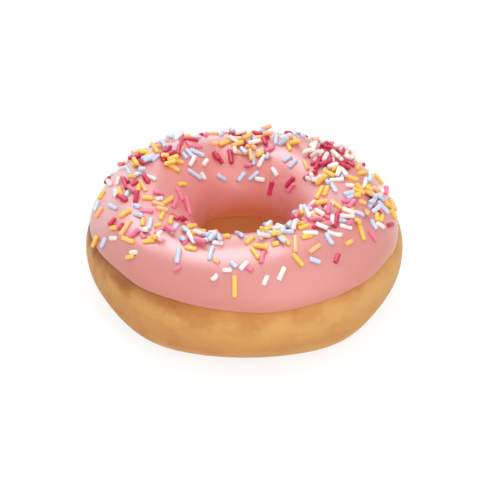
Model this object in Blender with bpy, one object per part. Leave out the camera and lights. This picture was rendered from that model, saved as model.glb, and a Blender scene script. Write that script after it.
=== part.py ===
"""Sprinkle frosted ring doughnut: a fried dough ring under a cap of pink icing that carries sugar strands.

Metres, +Z up, and -Y is its front. The origin lies at the middle of its outline, level with its foot.
A place on the ring is given by two angles: its azimuth round the hole, from +X, and its section angle round
the tube, where 0 is the widest point of the side, 90 the crest, 180 the throat of the hole and 270 the foot.
"""

import math
import random
from collections import namedtuple

import bmesh
import bpy
from mathutils import Matrix, Vector

MM = 0.001

# Dough ring, whose hole lies a little off the middle of its outline
HOLE_X = 0.19 * MM
HOLE_Y = 0.70 * MM
SIDE_RADIUS = 43.8 * MM
SIDE_HEIGHT = 12.8 * MM
CREST_RADIUS = 26.7 * MM
CREST_HEIGHT = 29.7 * MM
THROAT_RADIUS = 14.2 * MM
THROAT_HEIGHT = 12.5 * MM
FOOT_OUTER_RADIUS = 31.0 * MM
FOOT_INNER_RADIUS = 20.0 * MM

# How far each quarter of the section stands out of an ellipse, as a share of its half width
OUTER_TOP_BULGE = -0.08
INNER_TOP_BULGE = 0.0
INNER_LOW_BULGE = 0.03
OUTER_LOW_BULGE = 0.03

# The low outer quarter is fuller at either side of the front: (azimuth, reach, change)
LOW_CORNERS = ((231, 18, 0.10), (270, 20, -0.03), (309, 18, 0.10))

# Slow changes round the ring: (cycles, size, azimuth of the first peak in degrees)
SIDE_WAVES = ((1, 0.50 * MM, 258), (2, 0.20 * MM, 150), (3, 0.20 * MM, 34), (4, 0.35 * MM, 0))
CREST_WAVES = ((1, 0.15 * MM, 170), (2, 0.90 * MM, 167), (3, 0.90 * MM, 37), (5, 0.12 * MM, 75))
THROAT_WAVES = ((2, 0.25 * MM, 60), (3, 0.25 * MM, 100))
DOUGH_LUMPS = ((7, 0.10 * MM, 30), (11, 0.08 * MM, 5))

# Icing
AIR_GAP = 0.35 * MM
ICING_THICKNESS = 1.75 * MM
LIP_THICKNESS = 0.80 * MM
LIP_WIDTH = 1.5 * MM
LIP_RISE_WIDTH = 9.0 * MM
OUTER_EDGE_ANGLE = 21.8
INNER_EDGE_ANGLE = 178.5
OUTER_EDGE_WAVES = ((1, 4.0, 270), (2, 2.0, 61), (3, 1.4, 104), (5, 0.3, 64))
INNER_EDGE_WAVES = ((1, 2.0, 36), (2, 1.4, 76), (3, 1.0, 87), (5, 0.7, 23))

# Soft swells and dents of the icing: (azimuth, section angle, reach along the ring, reach across it, height)
SWELLS = (
    (62, 78, 9, 20, 0.55 * MM),
    (48, 66, 8, 22, -0.60 * MM),
    (100, 62, 26, 24, -0.45 * MM),
    (238, 48, 7, 16, -0.30 * MM),
    (222, 62, 10, 20, 0.25 * MM),
    (255, 66, 10, 18, 0.25 * MM),
    (190, 122, 12, 16, -0.35 * MM),
    (325, 120, 12, 16, 0.30 * MM),
)

# Mesh of the two turned pieces
RING_STEPS = 64
DOUGH_STEPS = 19
FOOT_STEP = 1e-6
ICING_STEPS = 12
UNDERSIDE_STEPS = 8
LIP_STATIONS = (0.12, 0.45, 1.0)

# Sugar strands
STRAND_RADIUS = 0.66 * MM
STRAND_SIDES = 5
SIDES_TO_ROUND = 1.09
STRAND_SINK = 0.40 * MM
STRAND_BITE = 0.14 * MM
STRAND_LENGTH = 3.4 * MM
STRAND_LENGTH_SPREAD = 0.8 * MM
SHORTEST_STRAND = 1.9 * MM
LONGEST_STRAND = 6.0 * MM
STEEPEST_LEAN = 0.75
TALLEST_PILE = 2.3 * MM
TOUCH_SAMPLES = 7
STRAND_SEED = 41
DRAWS_A_STRAND = 4
FUSED_STRANDS = 228

# Strands that lie alone: (azimuth, section angle, slant, length in mm). Slant and length are as seen from the
# front, VIEW_HEIGHT above the level, with slant 0 to the right and 90 upwards.
VIEW_HEIGHT = 35
LONE_STRANDS = (
    # front face
    (266, 48.5, 90, 5.7), (257.7, 56, 45, 2.2), (262.6, 62.5, 0, 2.5), (265.2, 67.5, -40, 2.2),
    (269.7, 66.5, 45, 3.0), (272, 63.5, -20, 1.9), (278, 52.7, 65, 2.8), (284.7, 56.5, 65, 3.8),
    (310.5, 55, 65, 2.5), (300.4, 60.5, -20, 3.0), (293.2, 65, -50, 4.2), (303, 70, 35, 3.5),
    (295.3, 78.5, 90, 4.2), (313, 72.7, -60, 3.6), (320.8, 61.5, 30, 2.0), (331, 61.5, -75, 4.8),
    (333, 69.5, -60, 1.9), (318, 74.7, -15, 4.2), (306.5, 84, 0, 4.2), (318, 86, -15, 3.5),
    (326.3, 73.5, -15, 3.5), (340.2, 56.5, -60, 3.0), (343.2, 50, -30, 2.5), (347, 52, 70, 1.9),
    (278, 72.5, 75, 3.2), (274.8, 76.5, -55, 3.5), (278.2, 81, -20, 4.2), (273, 90, 40, 2.8),
    (291.5, 84, -50, 3.2), (285.7, 82.5, 15, 1.9), (307, 93.5, 20, 3.0), (307.5, 98.5, -10, 1.9),
    (313.5, 88, 20, 2.4), (321.3, 95.5, -30, 3.3),
    # left of the front
    (238.7, 67.5, 80, 4.0), (253.8, 76, 75, 3.6), (257.2, 69.7, -30, 1.9), (241, 56.5, 30, 2.0),
    (242.8, 77, -10, 3.3), (237.5, 83, 60, 2.8), (246.2, 84, -25, 2.4), (255.4, 86.5, -5, 3.0),
    (254.5, 97, -60, 3.8), (250, 97, 20, 2.8), (259, 98, 0, 1.9), (247, 106, 0, 1.9),
    (235.5, 96, -60, 2.5), (230.5, 94.5, 15, 1.9), (226, 88.5, 60, 2.6), (233.6, 91, -30, 2.4),
    (266.5, 106, -35, 3.6), (218.2, 51, 0, 2.0), (217.8, 45.5, 10, 2.3), (211.5, 56.5, -20, 3.5),
    (221.3, 67, 5, 3.2), (223.3, 72, -20, 1.9), (225.7, 75, 70, 2.0), (205.4, 61.5, 60, 5.0),
    (200, 52, 0, 2.0), (197, 54, 65, 2.8), (203.8, 46, 0, 1.9), (200.3, 34.5, 65, 3.0),
    (195, 26.5, 60, 3.2),
    # left side
    (184, 41, 55, 3.2), (178, 36.5, 70, 3.2), (173.5, 43, 60, 2.8), (197.7, 67.5, 30, 3.6),
    (188.5, 59, -25, 2.5), (182, 68, -70, 2.5), (185, 83, 75, 2.8), (191.5, 80.5, 70, 2.8),
    (197.5, 78.5, -20, 1.9), (194, 88, -5, 3.0), (189.8, 99.7, -15, 3.2), (195, 98.7, 10, 1.9),
    (195.5, 108, 35, 2.8), (205.8, 96, -15, 3.5), (215.7, 102, -40, 2.5), (174.5, 71.5, -35, 2.6),
    (179, 73, -75, 2.4), (180, 124.5, -65, 4.0), (190, 133, -60, 5.0), (196, 116, 75, 3.0),
    (188, 69.5, -20, 2.6), (186, 74, 60, 1.9), (182, 64, 80, 2.0), (173.5, 65, 50, 2.2),
    (160.5, 72, -60, 2.6), (163.5, 77.5, -55, 2.6), (162, 81, -40, 1.9), (168, 72.5, -60, 2.4),
    (173.5, 81.5, 30, 2.4), (171, 85, 20, 2.0), (176, 78.5, 0, 1.9), (176, 93, -25, 3.0),
    (168, 50, -45, 2.2), (213.5, 78.5, 80, 3.0), (209.5, 75.5, 80, 2.0), (217.5, 82, 10, 2.2),
    (221.5, 79, 35, 3.4), (226, 84, -35, 3.0), (215, 71.5, -20, 2.6), (212, 90.5, 70, 2.0),
    (218, 94.5, 80, 2.0), (220, 108, 10, 1.9), (228, 107, -25, 3.0),
    # far wall of the hole and the back
    (167, 124.5, 0, 1.9), (145.5, 127, -35, 4.4), (137, 131.7, -60, 2.3), (135, 107.5, -50, 4.0),
    (127.3, 119.5, 60, 2.0), (112.5, 117, -60, 3.4), (115.5, 115, -55, 3.0), (102.3, 115.5, -80, 4.2),
    (115.9, 136.5, -30, 2.8), (93.5, 137.5, 50, 3.2), (80.5, 136.5, 40, 3.6), (73.5, 139.5, -10, 2.8),
    (59, 146.5, 75, 4.0), (60, 130.5, -60, 2.8), (37.5, 134.5, 50, 3.6), (32.5, 138, 50, 3.0),
    (22.5, 117, 30, 4.3), (53.7, 114, 30, 3.0), (46.2, 117.5, 45, 3.0), (34, 112.5, -70, 2.6),
    (82.5, 118, 88, 4.0), (87, 126, 0, 2.4), (75, 121, 60, 4.0), (77.7, 112.5, 35, 3.0),
    (79.5, 96, -5, 3.3), (92.8, 111.5, -5, 4.5), (120, 68, 10, 2.2), (125, 76, -70, 2.2),
    (118, 82, 10, 1.9), (134, 91, 85, 2.8), (128.5, 93, -50, 2.2), (124, 99, -5, 2.0),
    (143, 79, 0, 2.0), (147, 80, -45, 3.2), (143.5, 84, -45, 2.0), (149.5, 92, 20, 2.2),
    (143, 95.5, 0, 2.4), (143, 101, 60, 2.4), (140.5, 106, -50, 2.2), (157, 89, 40, 2.4),
    (162, 86, 20, 2.4), (110, 70, 80, 2.4), (102, 72, 60, 3.0), (110.5, 97, 10, 1.9),
    (104, 97.5, 30, 3.4), (92.5, 70, -5, 3.4), (94, 78, -20, 2.2), (91.5, 101.5, 60, 2.6),
    (84, 82, 10, 2.4), (80, 72, 20, 2.0), (86, 103.5, 0, 2.6), (76, 98.5, -70, 2.2), (71, 107, 35, 3.2),
    (70, 90, 80, 3.0), (64, 70, 20, 2.0), (70.5, 116, 60, 1.9), (48, 83, 30, 2.4), (41.5, 80, -15, 2.6),
    (34, 74, -20, 2.4), (34.5, 87.5, 5, 2.6), (27.5, 87, 80, 3.0), (20.5, 77, -40, 2.6),
    (20, 69, 60, 2.2), (20.5, 84, 20, 2.6), (8.5, 105.5, -60, 3.0), (12.5, 112, 20, 2.4),
    # right side
    (356, 113.5, 60, 4.0), (355, 106.5, 65, 3.0), (356.7, 98.5, -65, 2.8), (4.5, 95, 0, 4.0),
    (9.5, 88.5, 80, 2.6), (6, 81.5, -20, 3.4), (16, 94, 80, 2.0), (14.5, 84.5, 20, 3.0),
    (25.5, 95, 40, 3.4), (22, 96.5, 30, 3.0), (29, 104.5, 10, 3.2), (30.5, 93, 70, 2.8),
    (21, 100.5, 15, 2.6), (38, 96.5, 25, 4.0), (44, 96, 20, 2.2), (28, 72, 40, 2.4),
    (13.5, 70, 10, 2.3), (3.5, 68, -65, 3.0), (359, 84, -5, 2.8), (356, 77.5, -25, 3.6),
    (356, 70, -70, 3.0), (0.5, 58.5, 10, 2.2), (352.5, 64.5, 55, 3.3), (349.8, 58.5, -50, 3.0),
    (354.6, 52.3, -50, 4.5), (0.5, 42.5, -35, 3.0), (345, 83, -5, 4.0), (349.5, 82.5, 20, 2.4),
    (348.5, 73, -20, 2.2), (336.5, 80, 30, 3.8), (339.5, 72, -20, 3.2), (337, 101, -40, 2.4),
    (333, 94, 15, 3.0), (330, 84.5, 40, 2.0), (328, 79.5, -10, 3.0),
)

# Strands that lie in drifts: (azimuth, section angle, reach along the ring, reach across it, count)
STRAND_DRIFTS = (
    (33, 82, 9, 16, 26),
    (27, 97, 5, 7, 6),
    (356, 66, 14, 13, 18),
    (322, 96, 16, 18, 26),
    (340, 128, 6, 8, 8),
    (288, 95, 9, 12, 16),
    (243, 88, 14, 13, 10),
    (210, 74, 12, 16, 5),
    (186, 70, 12, 14, 5),
    (155, 84, 9, 20, 8),
    (156, 104, 4, 6, 6),
    (150, 97, 4, 5, 4),
    (128, 90, 12, 18, 6),
    (86, 97, 12, 18, 20),
    (15, 100, 8, 14, 9),
    (62, 92, 6, 14, 6),
    (60, 56, 24, 16, 14),
    (115, 52, 30, 14, 18),
    (150, 48, 18, 10, 8),
    (20, 46, 20, 10, 8),
)
DRIFT_EDGE = 1.6

Strand = namedtuple("Strand", "centre axis half_length")


def waves(terms, azimuth):
    """Sum of slow waves round the ring at an azimuth in radians."""
    return sum(size * math.cos(cycles * (azimuth - math.radians(peak))) for cycles, size, peak in terms)


def turned(radius, height, azimuth):
    """The point at a height and at a radius from the middle of the hole, turned to an azimuth."""
    return Vector((HOLE_X + radius * math.cos(azimuth), HOLE_Y + radius * math.sin(azimuth), height))


def angle_gap(a, b):
    """Signed gap between two azimuths in degrees, the short way round."""
    return (a - b + 180) % 360 - 180


def outer_low_bulge(azimuth):
    """Bulge of the section's low outer quarter at an azimuth."""
    total = OUTER_LOW_BULGE
    for at, reach, change in LOW_CORNERS:
        total += change * math.exp(-((angle_gap(math.degrees(azimuth), at) / reach) ** 2))
    return total


def dough_point(azimuth, section):
    """Point of the dough's surface, with both angles in radians."""
    across, up = math.cos(section), math.sin(section)
    side = SIDE_RADIUS + waves(SIDE_WAVES, azimuth)
    throat = THROAT_RADIUS + waves(THROAT_WAVES, azimuth)
    crest = CREST_HEIGHT + waves(CREST_WAVES, azimuth)
    level = SIDE_HEIGHT if across > 0 else THROAT_HEIGHT
    if up >= 0:
        middle = CREST_RADIUS
        reach_up = crest - level
        bulge = OUTER_TOP_BULGE if across > 0 else INNER_TOP_BULGE
    else:
        middle = FOOT_OUTER_RADIUS if across > 0 else FOOT_INNER_RADIUS
        reach_up = level
        bulge = outer_low_bulge(azimuth) if across > 0 else INNER_LOW_BULGE
    reach_out = side - middle if across > 0 else middle - throat
    swell = 1 + bulge * math.sin(2 * section) ** 2
    lump = waves(DOUGH_LUMPS, azimuth) * across * abs(across) * math.cos(3 * section)
    radius = middle + reach_out * across * swell + lump
    return turned(radius, max(0.0, level + reach_up * up * swell), azimuth)


def outward(point_at, azimuth, section, step=0.002):
    """Outward unit normal of a surface of two angles."""
    along = point_at(azimuth + step, section) - point_at(azimuth - step, section)
    across = point_at(azimuth, section + step) - point_at(azimuth, section - step)
    return along.cross(across).normalized()


def icing_edges(azimuth):
    """Section angles, in radians, at which the icing starts on the side and ends in the hole."""
    outer = OUTER_EDGE_ANGLE + waves(OUTER_EDGE_WAVES, azimuth)
    inner = INNER_EDGE_ANGLE + waves(INNER_EDGE_WAVES, azimuth)
    return math.radians(outer), math.radians(inner)


def swell_height(azimuth, section):
    """Height that the soft swells and dents add to the icing."""
    total = 0.0
    for at, across, reach_along, reach_across, height in SWELLS:
        u = angle_gap(math.degrees(azimuth), at) / reach_along
        v = (math.degrees(section) - across) / reach_across
        total += height * math.exp(-u * u - v * v)
    return total


def icing_thickness(azimuth, section):
    """Thickness of the icing, which rises as a round lip at both edges."""
    outer, inner = icing_edges(azimuth)
    tube = (SIDE_RADIUS - THROAT_RADIUS) / 2
    from_edge = max(0.0, min(section - outer, inner - section)) * tube
    rise = min(1.0, from_edge / LIP_WIDTH)
    fill = min(1.0, from_edge / LIP_RISE_WIDTH)
    thick = LIP_THICKNESS + (ICING_THICKNESS - LIP_THICKNESS) * fill * fill * (3 - 2 * fill)
    return thick * math.sqrt(1 - (1 - rise) ** 2) + swell_height(azimuth, section) * fill


def icing_point(azimuth, section):
    """Point of the icing's outer surface."""
    height = AIR_GAP + icing_thickness(azimuth, section)
    return dough_point(azimuth, section) + outward(dough_point, azimuth, section) * height


def underside_point(azimuth, section):
    """Point of the icing's underside, an air gap above the dough."""
    return dough_point(azimuth, section) + outward(dough_point, azimuth, section) * AIR_GAP


def ring_azimuths():
    return [2 * math.pi * i / RING_STEPS for i in range(RING_STEPS)]


def skin_of_loops(name, loops, material):
    """One closed object from equal closed loops of points that follow each other round the ring."""
    form = bmesh.new()
    rows = [[form.verts.new(point) for point in loop] for loop in loops]
    count = len(rows[0])
    for i, row in enumerate(rows):
        following = rows[(i + 1) % len(rows)]
        for j in range(count):
            k = (j + 1) % count
            form.faces.new((row[j], following[j], following[k], row[k]))
    bmesh.ops.recalc_face_normals(form, faces=form.faces)
    mesh = bpy.data.meshes.new(name)
    form.to_mesh(mesh)
    form.free()
    mesh.shade_smooth()
    mesh.materials.append(material)
    made = bpy.data.objects.new(name, mesh)
    bpy.context.scene.collection.objects.link(made)
    return made


def finish_of(name, colour, roughness):
    """A plain finish: colour, roughness and no metal."""
    material = bpy.data.materials.new(name)
    material.use_nodes = True
    shader = material.node_tree.nodes["Principled BSDF"]
    shader.inputs["Base Color"].default_value = (*colour, 1.0)
    shader.inputs["Roughness"].default_value = roughness
    shader.inputs["Metallic"].default_value = 0.0
    return material


def dough_section_angles():
    """Section angles of one loop of the dough, from the foot's outer rim over the crest to its inner rim."""
    start = -0.5 * math.pi
    angles = [start + 2 * math.pi * i / (DOUGH_STEPS + 1) for i in range(DOUGH_STEPS + 2)]
    angles[0] += FOOT_STEP
    angles[-1] -= FOOT_STEP
    return angles


def make_dough(material):
    angles = dough_section_angles()
    loops = [[dough_point(azimuth, section) for section in angles] for azimuth in ring_azimuths()]
    return skin_of_loops("dough_ring", loops, material)


def icing_loop(azimuth):
    """One closed loop of the icing: over its top from the side to the hole, and back along its underside."""
    outer, inner = icing_edges(azimuth)
    tube = (SIDE_RADIUS - THROAT_RADIUS) / 2
    lip = [share * LIP_WIDTH / tube for share in LIP_STATIONS]
    first, last = outer + lip[-1], inner - lip[-1]
    top = [outer + step for step in lip[:-1]]
    top += [first + (last - first) * i / ICING_STEPS for i in range(ICING_STEPS + 1)]
    top += [inner - step for step in reversed(lip[:-1])]
    under = [inner + (outer - inner) * i / UNDERSIDE_STEPS for i in range(UNDERSIDE_STEPS + 1)]
    return [icing_point(azimuth, s) for s in top] + [underside_point(azimuth, s) for s in under]


def make_icing(material):
    return skin_of_loops("icing", [icing_loop(azimuth) for azimuth in ring_azimuths()], material)


def icing_frame(azimuth, section):
    """Point of the icing's surface, its unit directions along, across and outwards, and its step rates."""
    step = 0.002
    along = icing_point(azimuth + step, section) - icing_point(azimuth - step, section)
    across = icing_point(azimuth, section + step) - icing_point(azimuth, section - step)
    up = along.cross(across).normalized()
    forward = along.normalized()
    rates = (2 * step / along.length, 2 * step / across.length)
    return icing_point(azimuth, section), forward, up.cross(forward), up, rates


def lone_place(azimuth, section, slant, length):
    """Azimuth, section angle, heading and true length of a strand given as it is seen from the front."""
    azimuth, section, slant, height = (math.radians(a) for a in (azimuth, section, slant, VIEW_HEIGHT))
    view_up = Vector((0, math.sin(height), math.cos(height)))
    _, forward, sideways, _, _ = icing_frame(azimuth, section)
    seen_forward = (forward.x, forward.dot(view_up))
    seen_sideways = (sideways.x, sideways.dot(view_up))
    area = seen_forward[0] * seen_sideways[1] - seen_forward[1] * seen_sideways[0]
    ahead = (math.cos(slant) * seen_sideways[1] - math.sin(slant) * seen_sideways[0]) / area
    aside = (math.sin(slant) * seen_forward[0] - math.cos(slant) * seen_forward[1]) / area
    true_length = min(LONGEST_STRAND, length * MM * math.hypot(ahead, aside))
    return azimuth, section, math.atan2(aside, ahead), true_length


def drift_places():
    """For each strand in the drifts, longest first, some places where it may lie, drawn by a seeded rule."""
    draw = random.Random(STRAND_SEED)
    strands = []
    for azimuth, section, along, across, count in STRAND_DRIFTS:
        for _ in range(count):
            length = draw.gauss(STRAND_LENGTH, STRAND_LENGTH_SPREAD)
            length = max(SHORTEST_STRAND, min(LONGEST_STRAND, length))
            places = []
            for _ in range(DRAWS_A_STRAND):
                at = azimuth + along * draw.triangular(-DRIFT_EDGE, DRIFT_EDGE)
                over = section + across * draw.triangular(-DRIFT_EDGE, DRIFT_EDGE)
                places.append((math.radians(at), math.radians(over), draw.uniform(0, math.pi), length))
            strands.append(places)
    return sorted(strands, key=lambda places: -places[0][3])


def support_height(sample, up, strands):
    """Height above a sample point, along up, at which a strand's middle rests on the strands below it."""
    reach = 2 * STRAND_RADIUS - STRAND_BITE
    highest = -1.0
    for other in strands:
        if (other.centre - sample).length > other.half_length + 3 * STRAND_RADIUS:
            continue
        for share in (-1, -0.75, -0.5, -0.25, 0, 0.25, 0.5, 0.75, 1):
            to_other = other.centre + other.axis * (share * other.half_length) - sample
            over = to_other.dot(up)
            beside = to_other.length_squared - over * over
            if beside < reach * reach:
                highest = max(highest, over + math.sqrt(reach * reach - beside))
    return highest


def rest_line(heights):
    """Height at the middle and slope of the lowest line that stays on or above (station, height) pairs."""
    behind = [pair for pair in heights if pair[0] <= 0]
    ahead = [pair for pair in heights if pair[0] >= 0]
    best, slope = -1.0, 0.0
    for s0, h0 in behind:
        for s1, h1 in ahead:
            if s1 == s0:
                middle, lean = h0, slope
            else:
                lean = (h1 - h0) / (s1 - s0)
                middle = h0 - lean * s0
            if middle > best:
                best, slope = middle, lean
    return best, slope


def drop_strand(place, strands):
    """The strand that comes to rest at a place, on the icing and on the strands there, and its height."""
    azimuth, section, heading, length = place
    base, forward, sideways, up, rates = icing_frame(azimuth, section)
    axis = forward * math.cos(heading) + sideways * math.sin(heading)
    turn = rates[0] * math.cos(heading)
    roll = rates[1] * math.sin(heading)
    half = length / 2
    near = [o for o in strands if (o.centre - base).length < half + o.half_length + 3 * STRAND_RADIUS]
    heights = []
    for i in range(TOUCH_SAMPLES):
        station = (half - STRAND_RADIUS) * (2 * i / (TOUCH_SAMPLES - 1) - 1)
        sample = base + axis * station
        spot = (azimuth + turn * station, section + roll * station)
        sink = min(STRAND_SINK, icing_thickness(*spot) / 2)
        rest = (icing_point(*spot) - sample).dot(up) + STRAND_RADIUS - sink
        heights.append((station, max(rest, support_height(sample, up, near))))
    height, slope = rest_line(heights)
    if abs(slope) > STEEPEST_LEAN:
        height = math.inf
    return Strand(base + up * min(height, TALLEST_PILE), (axis + up * slope).normalized(), half), height


def laid_strands(count):
    """The first strands laid: the lone ones, then the drifts, longest first, each in its lowest place."""
    strands = []
    for places in [[lone_place(*row)] for row in LONE_STRANDS] + drift_places():
        if len(strands) == count:
            break
        strand, height = min((drop_strand(place, strands) for place in places), key=lambda drop: drop[1])
        if height < TALLEST_PILE:
            strands.append(strand)
    return strands


def make_strand(strand, collection):
    """A strand, as a rod with flat sides."""
    form = bmesh.new()
    turn = strand.axis.to_track_quat("Z", "Y").to_matrix().to_4x4()
    bmesh.ops.create_cone(
        form,
        cap_ends=True,
        segments=STRAND_SIDES,
        radius1=STRAND_RADIUS * SIDES_TO_ROUND,
        radius2=STRAND_RADIUS * SIDES_TO_ROUND,
        depth=2 * strand.half_length,
        matrix=Matrix.Translation(strand.centre) @ turn,
    )
    mesh = bpy.data.meshes.new("strand")
    form.to_mesh(mesh)
    form.free()
    collection.objects.link(bpy.data.objects.new("strand", mesh))


def fuse(base, collection):
    """Joins a collection's objects to the base with one union, then removes them."""
    union = base.modifiers.new("strands", "BOOLEAN")
    union.operation = "UNION"
    union.operand_type = "COLLECTION"
    union.collection = collection
    union.solver = "MANIFOLD"
    graph = bpy.context.evaluated_depsgraph_get()
    fused = bpy.data.meshes.new_from_object(base.evaluated_get(graph))
    base.modifiers.clear()
    base.data = fused
    for helper in list(collection.objects):
        bpy.data.objects.remove(helper)
    bpy.data.collections.remove(collection)


def keep_main_body(base):
    """Leaves the largest connected skin: sealed hollows are filled and loose scraps dropped."""
    form = bmesh.new()
    form.from_mesh(base.data)
    left = set(form.verts)
    bodies = []
    while left:
        body, edge = set(), [left.pop()]
        while edge:
            vert = edge.pop()
            body.add(vert)
            for link in vert.link_edges:
                other = link.other_vert(vert)
                if other in left:
                    left.remove(other)
                    edge.append(other)
        bodies.append(body)
    bodies.sort(key=len)
    scraps = [vert for body in bodies[:-1] for vert in body]
    bmesh.ops.delete(form, geom=scraps, context="VERTS")
    form.to_mesh(base.data)
    form.free()
    return len(bodies) - 1


def main():
    for old in list(bpy.data.objects):
        bpy.data.objects.remove(old)
    dough_finish = finish_of("fried dough", (0.62, 0.33, 0.11), 0.62)
    icing_finish = finish_of("pink icing", (0.80, 0.33, 0.30), 0.35)
    make_dough(dough_finish)
    icing = make_icing(icing_finish)
    collection = bpy.data.collections.new("strands")
    bpy.context.scene.collection.children.link(collection)
    for strand in laid_strands(FUSED_STRANDS):
        make_strand(strand, collection)
    fuse(icing, collection)
    keep_main_body(icing)


main()
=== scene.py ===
"""Dressed model of a sprinkle frosted doughnut: a fried dough ring, a cap of pink icing and sugar sprinkles.

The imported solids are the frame. A fine dough ring stands for the plain one, and a fine icing cap with one piece
of sprinkles for each colour stands for the icing and the sprinkles fused to it. A place on the ring is given
by two angles: its azimuth round the hole, from +X, and its section angle round the tube, where 0 is the widest
point of the side, 90 the crest, 180 the throat of the hole and 270 the foot.
"""

from __future__ import annotations

import logging
import math
import random
from dataclasses import dataclass, field
from enum import Enum
from typing import Any, Callable, Iterable, Sequence

import bpy
from mathutils import Matrix, Vector

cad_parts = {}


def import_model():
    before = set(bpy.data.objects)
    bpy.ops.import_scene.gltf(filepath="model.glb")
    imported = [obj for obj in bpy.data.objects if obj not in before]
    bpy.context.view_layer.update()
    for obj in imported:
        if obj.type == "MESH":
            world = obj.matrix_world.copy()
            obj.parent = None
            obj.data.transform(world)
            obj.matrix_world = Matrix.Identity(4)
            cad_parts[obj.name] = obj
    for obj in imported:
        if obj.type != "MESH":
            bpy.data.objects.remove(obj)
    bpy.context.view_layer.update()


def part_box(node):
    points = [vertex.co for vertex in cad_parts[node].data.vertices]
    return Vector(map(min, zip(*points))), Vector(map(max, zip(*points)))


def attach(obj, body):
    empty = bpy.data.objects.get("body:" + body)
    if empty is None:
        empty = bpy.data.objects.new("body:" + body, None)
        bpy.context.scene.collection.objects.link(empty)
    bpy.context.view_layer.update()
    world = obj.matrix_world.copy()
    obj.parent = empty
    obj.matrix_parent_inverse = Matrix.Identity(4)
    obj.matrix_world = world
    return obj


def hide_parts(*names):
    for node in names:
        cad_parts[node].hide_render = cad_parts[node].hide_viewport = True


MM = 0.001
BODY = "root"
DOUGH_NODE = "dough_ring"
ICING_NODE = "icing"
IMAGE_SIDE = 483
# Step of both angles, in radians, over which a surface's slope is taken
SLOPE_STEP = 0.002
# Sockets of a colour mix node, by index
MIX_SHARE, MIX_FIRST, MIX_SECOND, MIX_OUT = 0, 6, 7, 2
# Sockets of a map range node, in the order of a span's values
SPAN_SOCKETS = ("From Min", "From Max", "To Min", "To Max")

LOG = logging.getLogger("doughnut")

Wave = tuple[float, float, float]
Face = tuple[int, ...]
# Start and end of a measure, and what they are turned into
Span = tuple[float, float, float, float]
Socket = bpy.types.NodeSocket


def linear(hex_colour: str) -> tuple[float, float, float, float]:
    """Turns an sRGB hex colour into a linear one.

    Args:
        hex_colour: A hash and six hex digits.

    Returns:
        Linear red, green and blue, and an alpha of 1.
    """
    channels = [int(hex_colour[i : i + 2], 16) / 255 for i in (1, 3, 5)]
    red, green, blue = (c / 12.92 if c <= 0.04045 else ((c + 0.055) / 1.055) ** 2.4 for c in channels)
    return red, green, blue, 1.0


def set_inputs(node: bpy.types.Node, inputs: dict[Any, Any]) -> None:
    """Sets or links a node's inputs.

    Args:
        node: The node.
        inputs: Value or output socket for each input, by the input's name or index.
    """
    for key, value in inputs.items():
        if isinstance(value, Socket):
            node.id_data.links.new(value, node.inputs[key])
        else:
            node.inputs[key].default_value = value


def add_node(
    tree: bpy.types.NodeTree, kind: str, inputs: dict[Any, Any], out: int | str = 0, **settings: Any
) -> Socket:
    """Adds a node with its settings and links.

    Args:
        tree: Node tree that gets the node.
        kind: Blender's name for the kind of node, after its usual start.
        inputs: Value or output socket for each input, by the input's name or index.
        out: Name or index of the output that is used.
        settings: Values for the node's own attributes.

    Returns:
        The output that is used.
    """
    node = tree.nodes.new(f"ShaderNode{kind}")
    for name, value in settings.items():
        setattr(node, name, value)
    set_inputs(node, inputs)
    return node.outputs[out]


def new_material(name: str) -> tuple[bpy.types.Material, bpy.types.NodeTree, bpy.types.Node, Socket]:
    """Makes a material with one Principled shader.

    Args:
        name: Name of the material.

    Returns:
        The material, its node tree, its Principled shader and the place of the shaded point, in metres.
    """
    material = bpy.data.materials.new(name)
    material.use_nodes = True
    tree = material.node_tree
    return material, tree, tree.nodes["Principled BSDF"], add_node(tree, "TexCoord", {}, "Object")


def ring_place(tree: bpy.types.NodeTree, place: Socket) -> tuple[Socket, Socket, Socket]:
    """Adds the nodes that tell where on the ring a point is.

    Args:
        tree: Node tree that gets the nodes.
        place: The point's place.

    Returns:
        The point's X, its height and its distance from the middle axis.
    """
    x, y, height = add_node(tree, "SeparateXYZ", {"Vector": place}).node.outputs
    flat = add_node(tree, "CombineXYZ", {"X": x, "Y": y})
    return x, height, add_node(tree, "VectorMath", {0: flat}, "Value", operation="LENGTH")


def waves(terms: Iterable[Wave], azimuth: float) -> float:
    """Sums waves round the ring, each given by its cycles, its size and the degrees of its first peak."""
    return sum(size * math.cos(cycles * (azimuth - math.radians(peak))) for cycles, size, peak in terms)


def angle_gap(azimuth: float, at: float) -> float:
    """Gives the signed gap in degrees, the short way round, from at in degrees to an azimuth in radians."""
    return (math.degrees(azimuth) - at + 180) % 360 - 180


def hump(azimuth: float, at: float, reach: float) -> float:
    """Gives the height, from 0 to 1, of a soft hump whose top and reach round the ring are in degrees."""
    return math.exp(-((angle_gap(azimuth, at) / reach) ** 2))


def round_rise(share: float) -> float:
    """Gives the height of a quarter circle of radius 1 at a share of its width, and 1 beyond it."""
    return math.sqrt(1 - (1 - min(1.0, share)) ** 2)


def slopes(
    surface: Callable[[float, float], Vector], azimuth: float, section: float
) -> tuple[Vector, Vector]:
    """Measures how a surface runs at a place.

    Args:
        surface: Gives the surface's point at an azimuth and a section angle.
        azimuth: Azimuth in radians.
        section: Section angle in radians.

    Returns:
        How the point moves over two slope steps, first along the ring and then across it.
    """
    along = surface(azimuth + SLOPE_STEP, section) - surface(azimuth - SLOPE_STEP, section)
    across = surface(azimuth, section + SLOPE_STEP) - surface(azimuth, section - SLOPE_STEP)
    return along, across


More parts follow.
